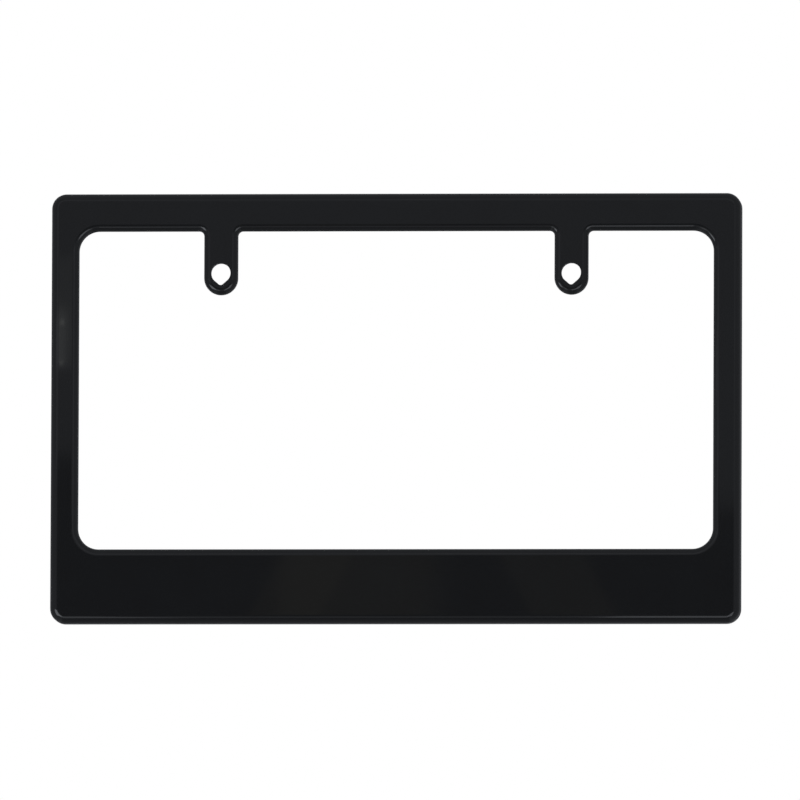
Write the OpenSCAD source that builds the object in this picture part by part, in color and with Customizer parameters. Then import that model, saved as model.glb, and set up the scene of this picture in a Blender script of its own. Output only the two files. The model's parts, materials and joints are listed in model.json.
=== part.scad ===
// Number plate holder: one moulded frame with two screw tabs.
// It stands upright, as it is fixed. X runs to the right, Z up, and the face looks towards -Y.
// The origin is midway between the two screw holes, in the plane where the frame seats on the plate.

/* [Frame outline] */
// Overall width of the frame
frame_w = 350; // [340:1:380]
// Corner radius of the frame
frame_corner_r = 7.5; // [5:0.5:20]
// Height of the bar above the window
top_bar_h = 19; // [14:0.5:40]
// Height of the bar below the window
bottom_bar_h = 37.5; // [20:0.5:60]

/* [Window] */
// Width of the window
window_w = 322; // [300:1:326]
// Height of the window
window_h = 161.5; // [120:0.5:163]
// Radius of the window's four corners
window_corner_r = 10.5; // [4:0.5:20]

/* [Section] */
// Thickness of the moulded wall
wall = 2.2; // [1.8:0.1:2.4]
// How far the face stands in front of the plate
face_stand = 5; // [4:0.5:8]
// How far the outer skirt reaches back past the plate's front
skirt_back = 7; // [4:0.5:15]
// Outside radius of the roll from the face into the skirt
skirt_roll = 4; // [2.5:0.5:4.5]
// Outside radius of the roll round the window and the tabs
window_roll = 3.3; // [2.5:0.1:3.5]
// Draft angle of inner walls and ribs, so that the moulding leaves its tool
draft = 1; // [0:0.25:2]

/* [Screw tabs] */
// Distance between the two screw holes
hole_pitch = 177.8; // [150:0.1:230]
// Diameter of each screw hole
hole_d = 10; // [6:0.5:10.5]
// Height of the window's top edge above the screw holes
hole_drop = 21.4; // [16:0.2:40]
// Width of each tab
tab_w = 17.2; // [16.8:0.2:26]
// Distance from a screw hole's centre down to its tab's tip
tab_tip = 11; // [10:0.2:16]
// Fillet radius where a tab leaves the window's top edge
tab_root_r = 2.6; // [1.5:0.1:8]
// Distance from a screw hole's centre down to the tip of its drop-shaped relief
relief_tip = 6.1; // [5.8:0.1:7.5]
// Radius of the relief's tip
relief_r = 1.6; // [1:0.1:2.5]

/* [Plate and ribs] */
// Width of the number plate behind the window
plate_w = 330; // [328:1:336]
// Height of the number plate behind the window
plate_h = 165; // [164:1:170]
// Play between the plate's edge and the ribs that locate it
plate_play = 0.75; // [0.3:0.05:1.5]
// Thickness of a rib
rib_t = 1.6; // [1:0.1:2.2]
// Wanted distance between neighbouring ribs
rib_pitch = 40; // [25:1:80]
// How far the ribs stop short of the skirt's rim
rib_setback = 2; // [1:0.5:3]

/* [Hidden] */
$fn = 96;

// How deep one solid is let into its neighbour so that they join
bite = 0.4;
// How far straight flanks stay inside the round ends that they join, so that the two cross
shy = 0.1;
frame_h = top_bar_h + window_h + bottom_bar_h;
window_top = hole_drop;
window_bottom = window_top - window_h;
frame_top = window_top + top_bar_h;
frame_bottom = frame_top - frame_h;
window_mid = (window_top + window_bottom) / 2;
hole_x = hole_pitch / 2;
hole_r = hole_d / 2;
tab_r = tab_w / 2;
tab_end = tab_r - tab_tip;
boss_r = hole_r + wall;
rib_back = skirt_back - rib_setback;

// Ribs are spaced evenly from screw hole to screw hole, and go on at that spacing to the corners
hole_gaps = round(hole_pitch / rib_pitch);
rib_gap = hole_pitch / hole_gaps;
end_gaps = floor((window_w / 2 - window_corner_r - hole_x) / rib_gap);
rib_xs = [for (i = [-end_gaps : hole_gaps + end_gaps]) i * rib_gap - hole_x];
side_gaps = round(window_h / rib_pitch);
rib_zs = [for (i = [1 : side_gaps - 1]) window_bottom + i * window_h / side_gaps];

// Outlines are walked as steps of [length, radius, turn], with the plastic on the left.
// A straight step has no turn. A turn to the left is positive.
function straight(length) = [length, 0, 0];
function turn(radius, angle) = [0, radius, angle];

// The place and heading [x, y, heading] that follows a step taken from place p
function after(p, step) =
    step[2] == 0
        ? [p[0] + step[0] * cos(p[2]), p[1] + step[0] * sin(p[2]), p[2]]
        : let (r = sign(step[2]) * step[1], h = p[2] + step[2])
          [p[0] + r * (sin(h) - sin(p[2])), p[1] - r * (cos(h) - cos(p[2])), h];

function places(start, steps) =
    [for (i = 0, p = start; i < len(steps); p = after(p, steps[i]), i = i + 1) p];

// The frame's outline, from the left end of its bottom edge and round to the left
frame_start = [-frame_w / 2 + frame_corner_r, frame_bottom, 0];
frame_steps = [
    for (side = [frame_w, frame_h, frame_w, frame_h])
        each [straight(side - 2 * frame_corner_r), turn(frame_corner_r, 90)]
];

// One tab, walked from its left root down, round its end and back up to its right root
tab_side = window_top - tab_end - tab_root_r;
tab_steps = [
    turn(tab_root_r, -90),
    straight(tab_side),
    turn(tab_r, 180),
    straight(tab_side),
    turn(tab_root_r, -90)
];

// The window's outline, from the left end of its top edge and round to the right
window_start = [-window_w / 2 + window_corner_r, window_top, 0];
top_end_len = window_w / 2 - window_corner_r - hole_x - tab_r - tab_root_r;
top_mid_len = 2 * (hole_x - tab_r - tab_root_r);
window_steps = concat(
    [straight(top_end_len)],
    tab_steps,
    [straight(top_mid_len)],
    tab_steps,
    [straight(top_end_len), turn(window_corner_r, -90)],
    [straight(window_h - 2 * window_corner_r), turn(window_corner_r, -90)],
    [straight(window_w - 2 * window_corner_r), turn(window_corner_r, -90)],
    [straight(window_h - 2 * window_corner_r), turn(window_corner_r, -90)]
);

// Section of a rolled edge: x runs from the edge into the plastic, y is the height over the plate
module edge_section(roll, back) {
    translate([roll, face_stand - roll])
        intersection() {
            difference() {
                circle(r = roll);
                circle(r = roll - wall);
            }
            translate([-roll, 0])
                square(roll);
        }
    polygon([
        [0, face_stand - roll],
        [0, -back],
        [wall - (face_stand - roll + back) * tan(draft), -back],
        [wall, face_stand - roll]
    ]);
}

// Carries a rolled edge along one step of an outline
module edge_step(place, step, roll, back) {
    translate([place[0], place[1], 0])
        rotate([0, 0, place[2]])
            if (step[2] == 0)
                rotate([90, 0, 90])
                    linear_extrude(step[0])
                        edge_section(roll, back);
            else if (step[2] > 0)
                translate([0, step[1], 0])
                    rotate([0, 0, -90])
                        rotate_extrude(angle = step[2])
                            translate([step[1], 0])
                                mirror([1, 0])
                                    edge_section(roll, back);
            else
                translate([0, -step[1], 0])
                    rotate([0, 0, 90 + step[2]])
                        rotate_extrude(angle = -step[2])
                            translate([step[1], 0])
                                edge_section(roll, back);
}

module rolled_edge(start, steps, roll, back) {
    at = places(start, steps);
    for (i = [0 : len(steps) - 1])
        edge_step(at[i], steps[i], roll, back);
}

// A rectangle from corner lo to corner hi, with its four corners rounded
module rounded_box(lo, hi, r) {
    size = hi - lo;
    translate(lo + [r, 0])
        square([size[0] - 2 * r, size[1]]);
    translate(lo + [0, r])
        square([size[0], size[1] - 2 * r]);
    for (x = [lo[0] + r, hi[0] - r], y = [lo[1] + r, hi[1] - r])
        translate([x, y])
            circle(r = r);
}

// The window widened by grow on every side, which makes its tabs narrower by as much
module window_shape(grow) {
    half_w = window_w / 2 + grow;
    stem_r = tab_r - grow;
    root_r = tab_root_r + grow;
    corner_r = window_corner_r + grow;
    top = window_top + grow;
    difference() {
        rounded_box([-half_w, window_bottom - grow], [half_w, top], corner_r);
        for (x = [-hole_x, hole_x])
            translate([x, tab_end]) {
                circle(r = stem_r);
                translate([-stem_r, 0])
                    square([2 * stem_r, top - tab_end + bite]);
                for (side = [-1, 1])
                    scale([side, 1])
                        translate([stem_r - bite, top - tab_end - root_r])
                            difference() {
                                square([root_r + bite, root_r + bite]);
                                translate([root_r + bite, 0])
                                    circle(r = root_r);
                            }
            }
    }
}

// The flat of the face, between the rolled edges
module face_plate() {
    lo = [-frame_w / 2 + skirt_roll, frame_bottom + skirt_roll];
    hi = [frame_w / 2 - skirt_roll, frame_top - skirt_roll];
    translate([0, 0, face_stand - wall])
        linear_extrude(wall)
            difference() {
                rounded_box(lo, hi, frame_corner_r - skirt_roll);
                window_shape(window_roll);
            }
}

// A screw hole's outline: a circle with a drop-shaped relief below it
module hole_shape() {
    tip_z = relief_r - relief_tip;
    lean = acos((hole_r - relief_r) / -tip_z);
    flank = [sin(lean), -cos(lean)];
    top = (hole_r - shy) * flank;
    low = (relief_r - shy) * flank;
    circle(r = hole_r);
    translate([0, tip_z])
        circle(r = relief_r);
    polygon([top, [-top[0], top[1]], [-low[0], low[1] + tip_z], [low[0], low[1] + tip_z]]);
}

// One rib behind the face, along X between two points, down to the stated depth
module rib(from, to, back) {
    root = face_stand - wall + bite;
    tip_t = rib_t - 2 * (root + back) * tan(draft);
    translate([from, 0, 0])
        rotate([90, 0, 90])
            linear_extrude(to - from)
                polygon([[-rib_t / 2, root], [-tip_t / 2, -back], [tip_t / 2, -back], [rib_t / 2, root]]);
}

// A rib from the window's edge to the skirt, which reaches deeper past the plate's edge and locates it
module step_rib(window_edge, plate_edge, frame_edge) {
    rib(window_edge + wall - bite, frame_edge - wall + bite, 0);
    rib(plate_edge + plate_play, frame_edge - wall + bite, rib_back);
}

module bar_ribs() {
    for (x = rib_xs)
        translate([x, window_mid, 0]) {
            rotate([0, 0, 90])
                step_rib(window_h / 2, plate_h / 2, frame_top - window_mid);
            rotate([0, 0, -90])
                step_rib(window_h / 2, plate_h / 2, window_mid - frame_bottom);
        }
    for (z = rib_zs, side = [0, 180])
        translate([0, z, 0])
            rotate([0, 0, side])
                step_rib(window_w / 2, plate_w / 2, frame_w / 2);
    translate([0, (window_bottom + frame_bottom) / 2, 0])
        rib(-frame_w / 2 + wall - bite, frame_w / 2 - wall + bite, rib_back);
}

// The ring round a screw hole, and the rib that ties it to the bar above
module tab_boss() {
    cylinder(r = boss_r, h = face_stand - wall + bite);
    rotate([0, 0, 90])
        rib(boss_r - bite, window_top + wall, 0);
}

module at_holes() {
    for (x = [-hole_x, hole_x])
        translate([x, 0, 0])
            children();
}

module plate_frame() {
    color([0.06, 0.065, 0.07])
        rotate([90, 0, 0])
            difference() {
                union() {
                    face_plate();
                    rolled_edge(frame_start, frame_steps, skirt_roll, skirt_back);
                    rolled_edge(window_start, window_steps, window_roll, 0);
                    bar_ribs();
                    at_holes()
                        tab_boss();
                }
                at_holes()
                    translate([0, 0, -bite])
                        linear_extrude(face_stand + 2 * bite)
                            hole_shape();
            }
}

plate_frame();
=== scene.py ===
# %% [markdown]
# # A gloss black number plate holder
# The real holder is one injection moulding in black ABS: a flat face, an outer skirt that
# rolls back round the plate, a rolled edge round the window, and two tabs for the screws.
# The exact part is loaded first. Its roundings are made of a few flat strips, which is fine
# for collision but shows in a gloss finish, so the same moulding is modelled again with
# much finer roundings and then stands for it.

# %% Load the exact part
import json
import math

import bmesh
import bpy
from mathutils import Matrix, Quaternion, Vector


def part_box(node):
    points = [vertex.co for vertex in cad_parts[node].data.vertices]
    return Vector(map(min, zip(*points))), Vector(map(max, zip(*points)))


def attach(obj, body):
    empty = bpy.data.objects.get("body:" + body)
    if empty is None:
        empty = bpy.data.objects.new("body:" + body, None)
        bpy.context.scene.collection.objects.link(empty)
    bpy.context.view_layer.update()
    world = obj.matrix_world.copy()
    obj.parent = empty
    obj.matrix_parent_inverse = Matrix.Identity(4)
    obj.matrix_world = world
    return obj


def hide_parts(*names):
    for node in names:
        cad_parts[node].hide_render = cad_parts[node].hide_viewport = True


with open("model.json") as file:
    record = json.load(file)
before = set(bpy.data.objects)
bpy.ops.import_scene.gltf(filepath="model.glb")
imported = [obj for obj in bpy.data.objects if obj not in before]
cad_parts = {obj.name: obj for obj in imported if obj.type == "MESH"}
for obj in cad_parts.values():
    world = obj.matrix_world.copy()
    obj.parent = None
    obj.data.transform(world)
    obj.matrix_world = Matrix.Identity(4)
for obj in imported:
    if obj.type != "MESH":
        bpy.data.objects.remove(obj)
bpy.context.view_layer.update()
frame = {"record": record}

# %% [markdown]
# ## Sizes
# The outside comes from the exact part's box and the screw pitch from its record, so the
# two can't drift apart. The rest are the moulding's own sizes, in millimetres, as a
# toolmaker would list them. The face looks along -Y and the plate lies against Y = 0.

# %% Sizes of the moulding
MM = 0.001

part_lo, part_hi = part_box("plate_frame")
screw_mount = next(m for m in frame["record"]["mounts"] if m["name"] == "plate_screws")
hole_x = screw_mount["dims"]["spacing_x_mm"] * MM / 2
hole_r = screw_mount["dims"]["hole_r_mm"] * MM

face_y = part_lo[1]
seat_y = 0.0
rim_y = part_hi[1]
frame_left, frame_right = part_lo[0], part_hi[0]
frame_bottom, frame_top = part_lo[2], part_hi[2]

wall = 2.2 * MM
side_bar_w = 14 * MM
top_bar_h = 19 * MM
bottom_bar_h = 37.5 * MM
frame_corner_r = 7.5 * MM
window_corner_r = 10.5 * MM
skirt_roll = 4 * MM
window_roll = 3.3 * MM

tab_w = 17.2 * MM
tab_tip = 11 * MM
tab_root_r = 2.6 * MM
relief_tip = 6.1 * MM
relief_r = 1.6 * MM

window_right = frame_right - side_bar_w
window_top = frame_top - top_bar_h
window_bottom = frame_bottom + bottom_bar_h
window_size = (2 * window_right, window_top - window_bottom)
print("window, mm:", [round(size / MM, 1) for size in window_size])

# %% [markdown]
# ## The face, as one flat sheet
# The real face is one flat wall with rounded corners. It could be cut from a plate with
# booleans, but then each rounding needs a cutter of its own. Here half of the face is drawn
# as a single face with a few sharp corners: the outside corners, the window's corners, the
# tab's roots and the tab's foot. The bevel operator rounds them, one radius at a time, and
# the other half is a mirror of the first.

# %% Draw half of the face
shell = bmesh.new()

half_outline = {
    "frame": [
        (0, frame_bottom),
        (frame_right, frame_bottom),
        (frame_right, frame_top),
        (0, frame_top),
    ],
    "tab": [
        (0, window_top),
        (hole_x - tab_w / 2, window_top),
        (hole_x - tab_w / 2, -tab_tip),
        (hole_x + tab_w / 2, -tab_tip),
        (hole_x + tab_w / 2, window_top),
    ],
    "window": [(window_right, window_top), (window_right, window_bottom), (0, window_bottom)],
}
points = [point for stretch in half_outline.values() for point in stretch]
shell.faces.new([shell.verts.new((x, face_y, z)) for x, z in points])
print("points drawn:", len(points))

# %% Round its corners and mirror it
corner_steps = 16
root_steps = 10
tip_steps = 24
same_spot = 1e-6
weld_dist = 1e-7


def round_corners(bm, corners, radius, segments):
    """Rounds the flat outline's corners at the given (x, z) places."""
    chosen = [
        v for v in bm.verts
        if any(abs(v.co.x - x) < same_spot and abs(v.co.z - z) < same_spot for x, z in corners)
    ]
    bmesh.ops.bevel(
        bm, geom=chosen, offset=radius, offset_type="OFFSET", segments=segments,
        profile=0.5, affect="VERTICES", clamp_overlap=False, material=-1,
    )
    bmesh.ops.remove_doubles(bm, verts=bm.verts, dist=weld_dist)


tab_roots = [half_outline["tab"][1], half_outline["tab"][4]]
tab_foot = half_outline["tab"][2:4]
round_corners(shell, half_outline["frame"][1:3], frame_corner_r, corner_steps)
round_corners(shell, half_outline["window"][0:2], window_corner_r, corner_steps)
round_corners(shell, tab_roots, tab_root_r, root_steps)
round_corners(shell, tab_foot, tab_w / 2, tip_steps)

half = shell.verts[:] + shell.edges[:] + shell.faces[:]
bmesh.ops.mirror(shell, geom=half, axis="X", merge_dist=same_spot)
bmesh.ops.recalc_face_normals(shell, faces=shell.faces)
print("outline points:", len(shell.verts), "faces:", len(shell.faces))

# %% [markdown]
# ## Skirt, lip and rolled edges
# The real face rolls back into its skirt and into the window's lip with no sharp line. A
# profile swept round each outline would give that too, but its ends are hard to join.
# Extruding is simpler: the skirt grows from the outside edge back to the rim, and the lip
# grows back to the plane that seats on the plate. One bevel with many segments then turns
# each sharp edge into a true quarter round, which follows the corners and the tabs by
# itself. A narrow inset keeps the shading of the roll from running out over the flat.

# %% Grow the skirt and the lip, then roll the edges
skirt_roll_steps = 14
window_roll_steps = 12
inset = 0.08 * MM
sharp_dot = 0.5
middle_x = (frame_right + window_right) / 2
middle_top = (frame_top + window_top) / 2
middle_bottom = (frame_bottom + window_bottom) / 2


def is_outside(v):
    """True for a point of the frame's own outline, false for one of the window's."""
    return abs(v.co.x) > middle_x or v.co.z > middle_top or v.co.z < middle_bottom


def is_in_front(v):
    """True for a point in the plane of the face."""
    return abs(v.co.y - face_y) < weld_dist


def grow_back(bm, edges, depth):
    """Extrudes edges towards the car by depth."""
    made = bmesh.ops.extrude_edge_only(bm, edges=edges)["geom"]
    grown = [item for item in made if isinstance(item, bmesh.types.BMVert)]
    bmesh.ops.translate(bm, verts=grown, vec=(0, depth, 0))


def roll_edges(bm, edges, radius, segments):
    """Turns sharp front edges into a quarter round."""
    bmesh.ops.bevel(
        bm, geom=edges, offset=radius, offset_type="OFFSET", segments=segments,
        profile=0.5, affect="EDGES", clamp_overlap=False, material=-1,
    )


rim_edges = [e for e in shell.edges if e.is_boundary]
skirt_edges = [e for e in rim_edges if all(is_outside(v) for v in e.verts)]
lip_edges = [e for e in rim_edges if not any(is_outside(v) for v in e.verts)]
grow_back(shell, skirt_edges, rim_y - face_y)
grow_back(shell, lip_edges, seat_y - face_y)
roll_edges(shell, skirt_edges, skirt_roll, skirt_roll_steps)
lip_front = [
    e for e in shell.edges
    if all(is_in_front(v) and not is_outside(v) for v in e.verts)
    and len(e.link_faces) == 2
    and abs(e.link_faces[0].normal.dot(e.link_faces[1].normal)) < sharp_dot
]
roll_edges(shell, lip_front, window_roll, window_roll_steps)
flats = [f for f in shell.faces if all(is_in_front(v) for v in f.verts)]
bmesh.ops.inset_region(shell, faces=flats, thickness=inset, use_even_offset=True)
bmesh.ops.recalc_face_normals(shell, faces=shell.faces)
print("skirt edges:", len(skirt_edges), "lip edges:", len(lip_front))
print("faces:", len(shell.faces))


# %% Make an object from a bmesh
def to_object(bm, name):
    """Puts a bmesh into a new object at the origin."""
    mesh = bpy.data.meshes.new(name)
    bm.to_mesh(mesh)
    bm.free()
    made = bpy.data.objects.new(name, mesh)
    bpy.context.scene.collection.objects.link(made)
    return made


moulding = to_object(shell, "moulded_frame")
thick = moulding.modifiers.new("wall", "SOLIDIFY")
thick.thickness = wall
thick.offset = -1
thick.use_even_offset = True
thick.use_quality_normals = True
print("sheet faces:", len(moulding.data.polygons), "wall, mm:", round(wall / MM, 2))

# %% [markdown]
# ## Ribs and screw bosses
# Behind the face such a moulding is hollow, and thin cross ribs keep the bars straight.
# Under the plate they end level with the lip. Past the plate's edge they reach deeper, and
# their steps locate the plate. Every rib thins by one degree of draft to its tip, so that
# it leaves the steel tool. Each screw hole has a thick ring and a rib up into the bar.
# A rib is a cube whose tip is scaled down for the draft. All ribs and rings join the shell
# in one boolean, so that the moulding stays a single closed solid.

# %% Ribs behind the bars
plate_w = 330 * MM
plate_h = 165 * MM
plate_play = 0.75 * MM
rib_t = 1.6 * MM
rib_rim_gap = 2 * MM
rib_gap_wanted = 40 * MM
draft = math.radians(1)
let_in = 0.4 * MM  # how far a rib or ring reaches into the wall it joins
seat_gap = 0.02 * MM  # keeps their tips out of the lip's own plane
rib_seat_y = seat_y - seat_gap
rib_deep_y = rim_y - rib_rim_gap

ribs = bmesh.new()


def add_rib(bm, start, end, tip_y, along):
    """One drafted rib along X or Z between two (x, z) points, from inside the face's wall to tip_y."""
    root_y = face_y + wall - let_in
    depth = tip_y - root_y
    centre = Vector(((start[0] + end[0]) / 2, (root_y + tip_y) / 2, (start[1] + end[1]) / 2))
    length = math.dist(start, end)
    size = (length, depth, rib_t) if along == "X" else (rib_t, depth, length)
    box = bmesh.ops.create_cube(bm, size=1)["verts"]
    bmesh.ops.scale(bm, verts=box, vec=size)
    bmesh.ops.translate(bm, verts=box, vec=centre)
    slimmer = 1 - 2 * depth * math.tan(draft) / rib_t
    squeeze = (1, 1, slimmer) if along == "X" else (slimmer, 1, 1)
    tip = [v for v in box if v.co.y > centre.y]
    bmesh.ops.scale(bm, verts=tip, vec=squeeze, space=Matrix.Translation(-centre))


def add_step_rib(bm, across, window_edge, plate_edge, frame_edge, along):
    """A rib from the window's lip to the skirt, deeper beyond the plate's edge, which it locates."""

    def place(at):
        """The (x, z) point at this distance along the rib's own axis."""
        return (at, across) if along == "X" else (across, at)

    out = math.copysign(1, frame_edge - window_edge)
    lip_end = window_edge + out * (wall - let_in)
    step = plate_edge + out * plate_play
    skirt_end = frame_edge - out * (wall - let_in)
    add_rib(bm, place(lip_end), place(skirt_end), rib_seat_y, along)
    add_rib(bm, place(step), place(skirt_end), rib_deep_y, along)


window_middle = (window_top + window_bottom) / 2
plate_top = window_middle + plate_h / 2
plate_bottom = window_middle - plate_h / 2

hole_gaps = round(2 * hole_x / rib_gap_wanted)
rib_gap = 2 * hole_x / hole_gaps
end_gaps = math.floor((window_right - window_corner_r - hole_x) / rib_gap)
for i in range(-end_gaps, hole_gaps + end_gaps + 1):
    x = i * rib_gap - hole_x
    add_step_rib(ribs, x, window_top, plate_top, frame_top, "Z")
    add_step_rib(ribs, x, window_bottom, plate_bottom, frame_bottom, "Z")

side_gaps = round((window_top - window_bottom) / rib_gap_wanted)
for i in range(1, side_gaps):
    z = window_bottom + i * (window_top - window_bottom) / side_gaps
    add_step_rib(ribs, z, window_right, plate_w / 2, frame_right, "X")
    add_step_rib(ribs, z, -window_right, -plate_w / 2, frame_left, "X")

long_rib_end = frame_right - wall + let_in
add_rib(ribs, (-long_rib_end, middle_bottom), (long_rib_end, middle_bottom), rib_deep_y, "X")
print("rib boxes:", len(ribs.faces) // 6, "rib gap, mm:", round(rib_gap / MM, 2))

# %% Screw bosses
bore_steps = 96
towards_face = Matrix.Rotation(math.radians(90), 3, "X")
boss_r = hole_r + wall
boss_front = face_y + wall - let_in
boss_depth = rib_seat_y - boss_front
for x in (-hole_x, hole_x):
    boss = bmesh.ops.create_cone(
        ribs, cap_ends=True, segments=bore_steps, radius1=boss_r, radius2=boss_r, depth=boss_depth,
    )["verts"]
    bmesh.ops.rotate(ribs, verts=boss, cent=(0, 0, 0), matrix=towards_face)
    bmesh.ops.translate(ribs, verts=boss, vec=(x, (boss_front + rib_seat_y) / 2, 0))
    add_rib(ribs, (x, boss_r - let_in), (x, window_top + wall), rib_seat_y, "Z")
rib_tool = to_object(ribs, "rib_tool")
print("ring, mm:", round(2 * boss_r / MM, 2), "faces in all:", len(rib_tool.data.polygons))

# %% [markdown]
# ## Screw holes
# A hole is a round bore with a small drop-shaped relief below it. It could be cut as a bore
# and a notch, but the drop's flanks run off the bore as tangents, which would have to be
# worked out. A convex hull finds them by itself: the cutter is the hull of a large disc and
# a small one in front of the tab, and the same two behind it.

# %% Cutters for the screw holes
through = 1 * MM  # how far the cutters stand out in front and behind
flat_angle = math.radians(0.5)
cutters = bmesh.new()


def add_disc(bm, radius, place):
    """Adds a disc parallel to the face and returns its points."""
    disc = bmesh.ops.create_circle(bm, cap_ends=False, segments=bore_steps, radius=radius)["verts"]
    bmesh.ops.rotate(bm, verts=disc, cent=(0, 0, 0), matrix=towards_face)
    bmesh.ops.translate(bm, verts=disc, vec=place)
    return disc


for x in (-hole_x, hole_x):
    corners = []
    for y in (face_y - through, seat_y + through):
        corners += add_disc(cutters, hole_r, (x, y, 0))
        corners += add_disc(cutters, relief_r, (x, y, relief_r - relief_tip))
    hull = bmesh.ops.convex_hull(cutters, input=corners, use_existing_faces=False)
    inside = hull["geom_interior"] + hull["geom_unused"]
    spare = {v for v in inside if isinstance(v, bmesh.types.BMVert)}
    bmesh.ops.delete(cutters, geom=list(spare), context="VERTS")
bmesh.ops.dissolve_limit(cutters, angle_limit=flat_angle, verts=cutters.verts, edges=cutters.edges)
hole_tool = to_object(cutters, "hole_tool")
print("hole, mm:", round(2 * hole_r / MM, 2), "drop's tip below, mm:", round(relief_tip / MM, 2))

# %% Join the ribs and cut the holes
for tool, operation in ((rib_tool, "UNION"), (hole_tool, "DIFFERENCE")):
    cut = moulding.modifiers.new(operation.lower(), "BOOLEAN")
    cut.object = tool
    cut.operation = operation
    cut.solver = "EXACT"
    cut.use_self = True
print("modifiers:", [modifier.name for modifier in moulding.modifiers])

# %% [markdown]
# ## One closed mesh
# The wall, the ribs and the holes are modifiers so far. They are applied here, so that the object
# holds the moulding itself. The front edge of each screw hole is broken by a fine bevel. What faces
# straight to the front or the back shades flat, edges turned by more than 35 degrees stay crisp,
# and all else shades as smooth curves.

# %% Apply the modifiers
bpy.context.view_layer.update()
built = moulding.evaluated_get(bpy.context.evaluated_depsgraph_get())
finished = bpy.data.meshes.new_from_object(built)
moulding.modifiers.clear()
moulding.data = finished
for tool in (rib_tool, hole_tool):
    bpy.data.objects.remove(tool)
print("faces after the booleans:", len(finished.polygons))

# %% Break the hole edges and set the shading
edge_break = 0.15 * MM
edge_break_steps = 3
mend_dist = 2e-6
crisp_angle = math.radians(35)
rim_angle = math.radians(60)
rim_reach = relief_tip * 1.05
flat_normal = 0.9999
whole = bmesh.new()
whole.from_mesh(finished)
bmesh.ops.remove_doubles(whole, verts=whole.verts, dist=mend_dist)
bmesh.ops.dissolve_degenerate(whole, edges=whole.edges, dist=mend_dist)


def is_at_hole(v):
    """True for a point in the plane of the face that lies round a screw hole."""
    from_hole = math.hypot(abs(v.co.x) - hole_x, v.co.z)
    return abs(v.co.y - face_y) < same_spot and from_hole < rim_reach


hole_rims = [
    e for e in whole.edges
    if all(is_at_hole(v) for v in e.verts) and e.calc_face_angle(0) > rim_angle
]
bmesh.ops.bevel(
    whole, geom=hole_rims, offset=edge_break, offset_type="OFFSET", segments=edge_break_steps,
    profile=0.5, affect="EDGES", clamp_overlap=False, material=-1,
)
whole.normal_update()
for face in whole.faces:
    face.smooth = abs(face.normal.y) < flat_normal
for edge in whole.edges:
    edge.smooth = len(edge.link_faces) == 2 and edge.calc_face_angle(0) < crisp_angle
open_edges = [e for e in whole.edges if len(e.link_faces) != 2]
volume = whole.calc_volume()
triangles = sum(len(f.verts) - 2 for f in whole.faces)
whole.to_mesh(finished)
whole.free()
print("open edges:", len(open_edges), "triangles:", triangles)
print("volume, mm3:", round(volume / MM**3))

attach(moulding, "root")
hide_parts("plate_frame")

# %% [markdown]
# ## Gloss black ABS
# ABS moulded against a polished steel tool comes out nearly as smooth as glass, with an
# IOR of about 1.54. What tells it from glass is a faint orange peel of a millimetre or
# two, and long shallow waves where the wall shrank over the ribs. The side that faces the
# car is cut plainer in the tool, so it is duller. An image could carry all this, but only
# on an unwrapped mesh. Noise on Object coordinates needs no unwrapping, and its scale is
# set in real millimetres.


# %% Colour and node helpers
def linear(hex_colour):
    """An sRGB hex colour as linear red, green, blue and alpha."""
    coded = [int(hex_colour[i:i + 2], 16) / 255 for i in (1, 3, 5)]
    parts = [c / 12.92 if c <= 0.04045 else ((c + 0.055) / 1.055) ** 2.4 for c in coded]
    return (*parts, 1.0)


def add(tree, kind, inputs=None, **settings):
    """Adds a node. inputs holds a value or another node's output for each socket named."""
    made = tree.nodes.new(kind)
    for name, value in settings.items():
        setattr(made, name, value)
    for socket, value in (inputs or {}).items():
        if isinstance(value, bpy.types.NodeSocket):
            tree.links.new(value, made.inputs[socket])
        else:
            made.inputs[socket].default_value = value
    return made


print("mid grey, linear:", [round(c, 3) for c in linear("#808080")[:3]])


# %% Material of the moulding
peel_size, peel_depth = 1.6 * MM, 0.0012 * MM
wave_size, wave_depth = 60 * MM, 0.06 * MM
flow_size = 18 * MM
gloss_rough, dull_rough = 0.05, 0.07
flow_low, flow_high = 0.3, 0.7
behind_rougher = 0.2
behind_starts, behind_full = 0.3, 0.8  # how far a surface is turned towards the car, as its Y
abs_ior = 1.54


def noise(tree, place, size, detail):
    """Noise on Object coordinates with features of this size in metres."""
    return add(tree, "ShaderNodeTexNoise", {
        "Vector": place.outputs["Object"], "Scale": 1 / size, "Detail": detail,
    })


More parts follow.
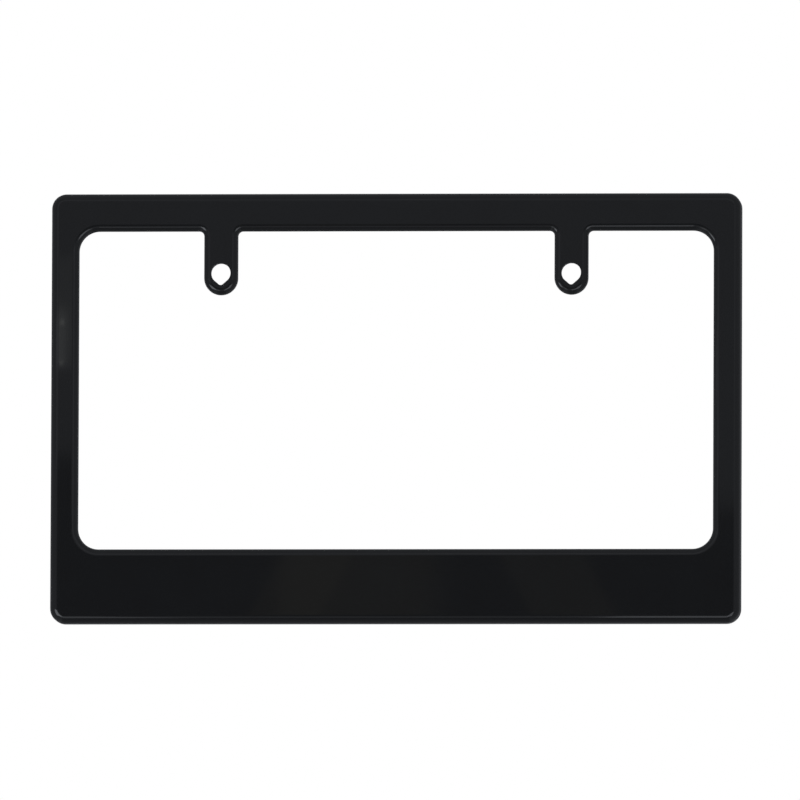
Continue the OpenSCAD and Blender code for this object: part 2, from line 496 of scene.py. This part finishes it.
def moulded_abs():
    """Black ABS, polished in front and plainer behind."""
    material = bpy.data.materials.new("gloss_black_abs_moulded")
    material.use_nodes = True
    tree = material.node_tree
    tree.nodes.clear()
    place = add(tree, "ShaderNodeTexCoord")
    peel = noise(tree, place, peel_size, 1.0)
    wave = noise(tree, place, wave_size, 0.0)
    flow = noise(tree, place, flow_size, 3.0)
    long_bump = add(tree, "ShaderNodeBump", {
        "Height": wave.outputs["Fac"], "Strength": 1.0, "Distance": wave_depth,
    })
    bump = add(tree, "ShaderNodeBump", {
        "Height": peel.outputs["Fac"], "Strength": 1.0, "Distance": peel_depth,
        "Normal": long_bump.outputs["Normal"],
    })
    facing = add(tree, "ShaderNodeSeparateXYZ", {"Vector": place.outputs["Normal"]})
    behind = add(tree, "ShaderNodeMapRange", {
        "Value": facing.outputs["Y"], "From Min": behind_starts, "From Max": behind_full,
        "To Min": 0.0, "To Max": behind_rougher,
    })
    rough = add(tree, "ShaderNodeMapRange", {
        "Value": flow.outputs["Fac"], "From Min": flow_low, "From Max": flow_high,
        "To Min": gloss_rough, "To Max": dull_rough,
    })
    rough_total = add(tree, "ShaderNodeMath", {
        0: rough.outputs["Result"], 1: behind.outputs["Result"],
    }, operation="ADD")
    shade = add(tree, "ShaderNodeMix", {
        "Factor": flow.outputs["Fac"], "A": linear("#0E0E0F"), "B": linear("#101112"),
    }, data_type="RGBA")
    surface = add(tree, "ShaderNodeBsdfPrincipled", {
        "Base Color": shade.outputs["Result"], "Roughness": rough_total.outputs["Value"],
        "IOR": abs_ior, "Metallic": 0.0, "Normal": bump.outputs["Normal"],
    })
    add(tree, "ShaderNodeOutputMaterial", {"Surface": surface.outputs["BSDF"]})
    return material


moulding.data.materials.clear()
moulding.data.materials.append(moulded_abs())
print("material:", moulding.data.materials[0].name)

# %% [markdown]
# ## Floor and world
# The photograph shows the frame on pure white with no shadow, as a cut-out. The pale floor
# lies so deep that a camera which looks up from below is still above it. Rays from the
# camera see a white world, while reflections see a dim studio that is lighter above and to
# both sides, with a faint glow from below. More light on the frame would turn the ground
# white too, but it would wash out the black. The floor itself is left out of reflections,
# because the edges that face down are dark in the photograph.

# %% Floor
floor_z = -14
floor_size = 120
mottle_size = 1 / 6
paint_rough = 0.8
ground = bmesh.new()
bmesh.ops.create_grid(ground, x_segments=1, y_segments=1, size=floor_size / 2)
bmesh.ops.translate(ground, verts=ground.verts, vec=(0, 0, floor_z))
floor = to_object(ground, "floor")
floor.visible_glossy = False


def painted_floor():
    """Pale matt studio floor paint with a faint roller mottle."""
    material = bpy.data.materials.new("pale_floor_paint")
    material.use_nodes = True
    tree = material.node_tree
    tree.nodes.clear()
    place = add(tree, "ShaderNodeTexCoord")
    mottle = noise(tree, place, mottle_size, 2.0)
    tone = add(tree, "ShaderNodeMix", {
        "Factor": mottle.outputs["Fac"], "A": linear("#F1F1F1"), "B": linear("#F5F5F5"),
    }, data_type="RGBA")
    surface = add(tree, "ShaderNodeBsdfPrincipled", {
        "Base Color": tone.outputs["Result"], "Roughness": paint_rough,
    })
    add(tree, "ShaderNodeOutputMaterial", {"Surface": surface.outputs["BSDF"]})
    return material


floor.data.materials.append(painted_floor())
print("floor, m:", floor_size, "across, at", floor_z)

# %% World
world = bpy.data.worlds.new("studio")
bpy.context.scene.world = world
world.use_nodes = True
sky = world.node_tree
sky.nodes.clear()
daylight = linear("#F3F7FF")
room_light = 0.8
dark_side = 0.1
light_side = 0.26
light_starts, light_full = 0.15, 0.45
floor_glow = 0.08
glow_starts, glow_full = -0.6, -1.0
path = add(sky, "ShaderNodeLightPath")
direction = add(sky, "ShaderNodeTexCoord")
split = add(sky, "ShaderNodeSeparateXYZ", {"Vector": direction.outputs["Generated"]})
sideways = add(sky, "ShaderNodeMath", {0: split.outputs["X"]}, operation="ABSOLUTE")
outward = add(sky, "ShaderNodeMath", {
    0: sideways.outputs["Value"], 1: split.outputs["Z"],
}, operation="MAXIMUM")
studio = add(sky, "ShaderNodeMapRange", {
    "Value": outward.outputs["Value"], "From Min": light_starts, "From Max": light_full,
    "To Min": dark_side, "To Max": light_side,
}, interpolation_type="SMOOTHSTEP")
below = add(sky, "ShaderNodeMapRange", {
    "Value": split.outputs["Z"], "From Min": glow_starts, "From Max": glow_full,
    "To Min": 0.0, "To Max": floor_glow,
}, interpolation_type="SMOOTHSTEP")
mirrored_room = add(sky, "ShaderNodeMath", {
    0: studio.outputs["Result"], 1: below.outputs["Result"],
}, operation="ADD")
diffuse_or_gloss = add(sky, "ShaderNodeMix", {
    "Factor": path.outputs["Is Glossy Ray"], "A": room_light, "B": mirrored_room.outputs["Value"],
}, data_type="FLOAT")
strength = add(sky, "ShaderNodeMix", {
    "Factor": path.outputs["Is Camera Ray"], "A": diffuse_or_gloss.outputs["Result"], "B": 1.0,
}, data_type="FLOAT")
tint = add(sky, "ShaderNodeMix", {
    "Factor": path.outputs["Is Camera Ray"], "A": daylight, "B": linear("#FFFFFF"),
}, data_type="RGBA")
glow = add(sky, "ShaderNodeBackground", {
    "Color": tint.outputs["Result"], "Strength": strength.outputs["Result"],
})
add(sky, "ShaderNodeOutputWorld", {"Surface": glow.outputs["Background"]})
print("world nodes:", len(sky.nodes))

# %% [markdown]
# ## Camera
# The photograph has no perspective that can be measured, so it was taken from far off with
# a long lens. The skirt shows as a wider band at the right and at the bottom, so the camera
# stands a little to the right of the frame and below it. The lens follows from the screw
# pitch, and a slight roll from the slope of the two long edges.

# %% Camera
photo_px = 800
photo_pitch_px = 350.4
photo_middle_px = (395.9, 408.5)
azimuth, elevation = math.radians(4), math.radians(-4.5)
roll = math.radians(0.23)
distance = 12.0
middle = Vector((0, 0, (frame_top + frame_bottom) / 2))

back = Vector((
    math.sin(azimuth) * math.cos(elevation),
    -math.cos(azimuth) * math.cos(elevation),
    math.sin(elevation),
))
px = 2 * hole_x * math.cos(azimuth) / photo_pitch_px
aim = middle + Vector((
    (photo_px / 2 - photo_middle_px[0]) * px,
    0,
    (photo_middle_px[1] - photo_px / 2) * px,
))
camera = bpy.data.cameras.new("camera")
camera.sensor_width = 36
camera.lens = camera.sensor_width * distance / (photo_px * px)
camera.clip_end = 200
eye = bpy.data.objects.new("camera", camera)
bpy.context.scene.collection.objects.link(eye)
eye.location = aim + back * distance
level = (-back).to_track_quat("-Z", "Y")
eye.rotation_euler = (level @ Quaternion((0, 0, 1), roll)).to_euler()
bpy.context.scene.camera = eye
bpy.context.scene.view_settings.view_transform = "Standard"
print("lens, mm:", round(camera.lens), "pixel, mm:", round(px / MM, 4))

# %% [markdown]
# ## Lights
# Soft lamps stand low in front, in the middle, to the left and to the right. They draw the
# thin bright lines and crescents on the rolled edges that face down. One more stands beside
# the left bar and lights the start of its roll. The flat face works as a mirror, so what
# brightens it are dim cards in front, placed by following the mirrored line of sight from
# the camera. A card must be larger than the patch it lights, because those lines spread on
# their way. The nearer a card stands, the sharper is its patch.


# %% Lamp helpers
warm = linear("#FFF4CD")
neutral = linear("#F3F7EE")
far, near, close = 1.2, 0.35, 0.12  # how far in front of the face a card stands
left_slant, right_slant = math.radians(-30), math.radians(27)


def soft_lamp(name, place, target, size, radiance, colour=daylight, turn=0):
    """A panel turned about its own middle that shines at target. A mirror would show its radiance."""
    lamp = bpy.data.lights.new(name, "AREA")
    lamp.shape = "RECTANGLE"
    lamp.size, lamp.size_y = size
    lamp.energy = radiance * math.pi * size[0] * size[1]
    lamp.color = colour[:3]
    made = bpy.data.objects.new(name, lamp)
    bpy.context.scene.collection.objects.link(made)
    made.location = place
    towards = (Vector(target) - Vector(place)).to_track_quat("-Z", "Y")
    made.rotation_euler = (towards @ Quaternion((0, 0, 1), turn)).to_euler()
    made.visible_camera = False


def mirrored(spot, reach):
    """The place, reach in front of the face, that the flat at spot mirrors into the camera."""
    ray = (spot - eye.location).normalized()
    return spot + Vector((ray.x, -ray.y, ray.z)) * reach


def card(name, left, right, low, high, radiance, reach=far, **look):
    """A card in front of the face that lights the patch from left to right and low to high."""
    spot = Vector(((left + right) / 2, face_y, (low + high) / 2))
    spread = 1 + reach / distance
    size = ((right - left) * spread, (high - low) * spread)
    soft_lamp(name, mirrored(spot, reach), spot, size, radiance, **look)


sight = mirrored(Vector((0, face_y, 0)), 1.0)
print("sight line mirrored in the face, 1 m out:", [round(part, 3) for part in sight])

# %% Cards that the flat face mirrors
card("upper_left_card", -0.8, 0, -0.089, 0.6, 0.14)
card("upper_right_card", 0, 0.8, -0.12, 0.6, 0.14)
card("side_card", -0.18, -0.158, -0.048, 0.008, 0.085, near, colour=neutral)
card("side_streak", -0.173, -0.168, -0.0455, -0.0165, 0.2, near, colour=neutral)
card("side_spot_upper", -0.1702, -0.1685, -0.0262, -0.0235, 0.6, close, colour=neutral)
card("side_spot_lower", -0.1705, -0.1688, -0.0468, -0.0443, 0.42, close, colour=neutral)
card("lower_card", -0.058, 0.02, -0.25, -0.135, 0.05, 0.9, colour=warm)
card("lower_left_card", -0.0666, -0.0359, -0.2357, -0.0957, 0.036, near, colour=warm, turn=left_slant)
card("lower_right_card", 0.0648, 0.1032, -0.2307, -0.0907, 0.04, near, colour=warm, turn=right_slant)
print("cards:", len(bpy.data.lights))

# %% Lamps that the rolled edges mirror
left_roll = (-0.172, face_y, -0.004)
left_end = (-0.17, 0, -0.17)
right_end = (0.17, 0, -0.17)
soft_lamp("side_roll_card", (-0.325, -0.315, -0.004), left_roll, (0.283, 0.0288), 0.15)
soft_lamp("low_left", (-0.38, -0.4, -0.27), middle, (0.27, 0.22), 1.9)
soft_lamp("low_right", (0.49, -0.9, -0.575), middle, (0.46, 0.44), 1.25)
soft_lamp("low_front", (-0.07, -0.88, -0.68), middle, (0.6, 0.45), 0.2)
soft_lamp("low_front_left", (-0.37, -0.86, -0.68), left_end, (0.3, 0.45), 0.46)
soft_lamp("low_front_right", (0.185, -0.88, -0.68), right_end, (0.26, 0.45), 0.7)
print("cards and lamps:", len(bpy.data.lights))

# %% [markdown]
# ## Finish
# The view layer is brought up to date at the end.

# %% Finish
bpy.context.view_layer.update()
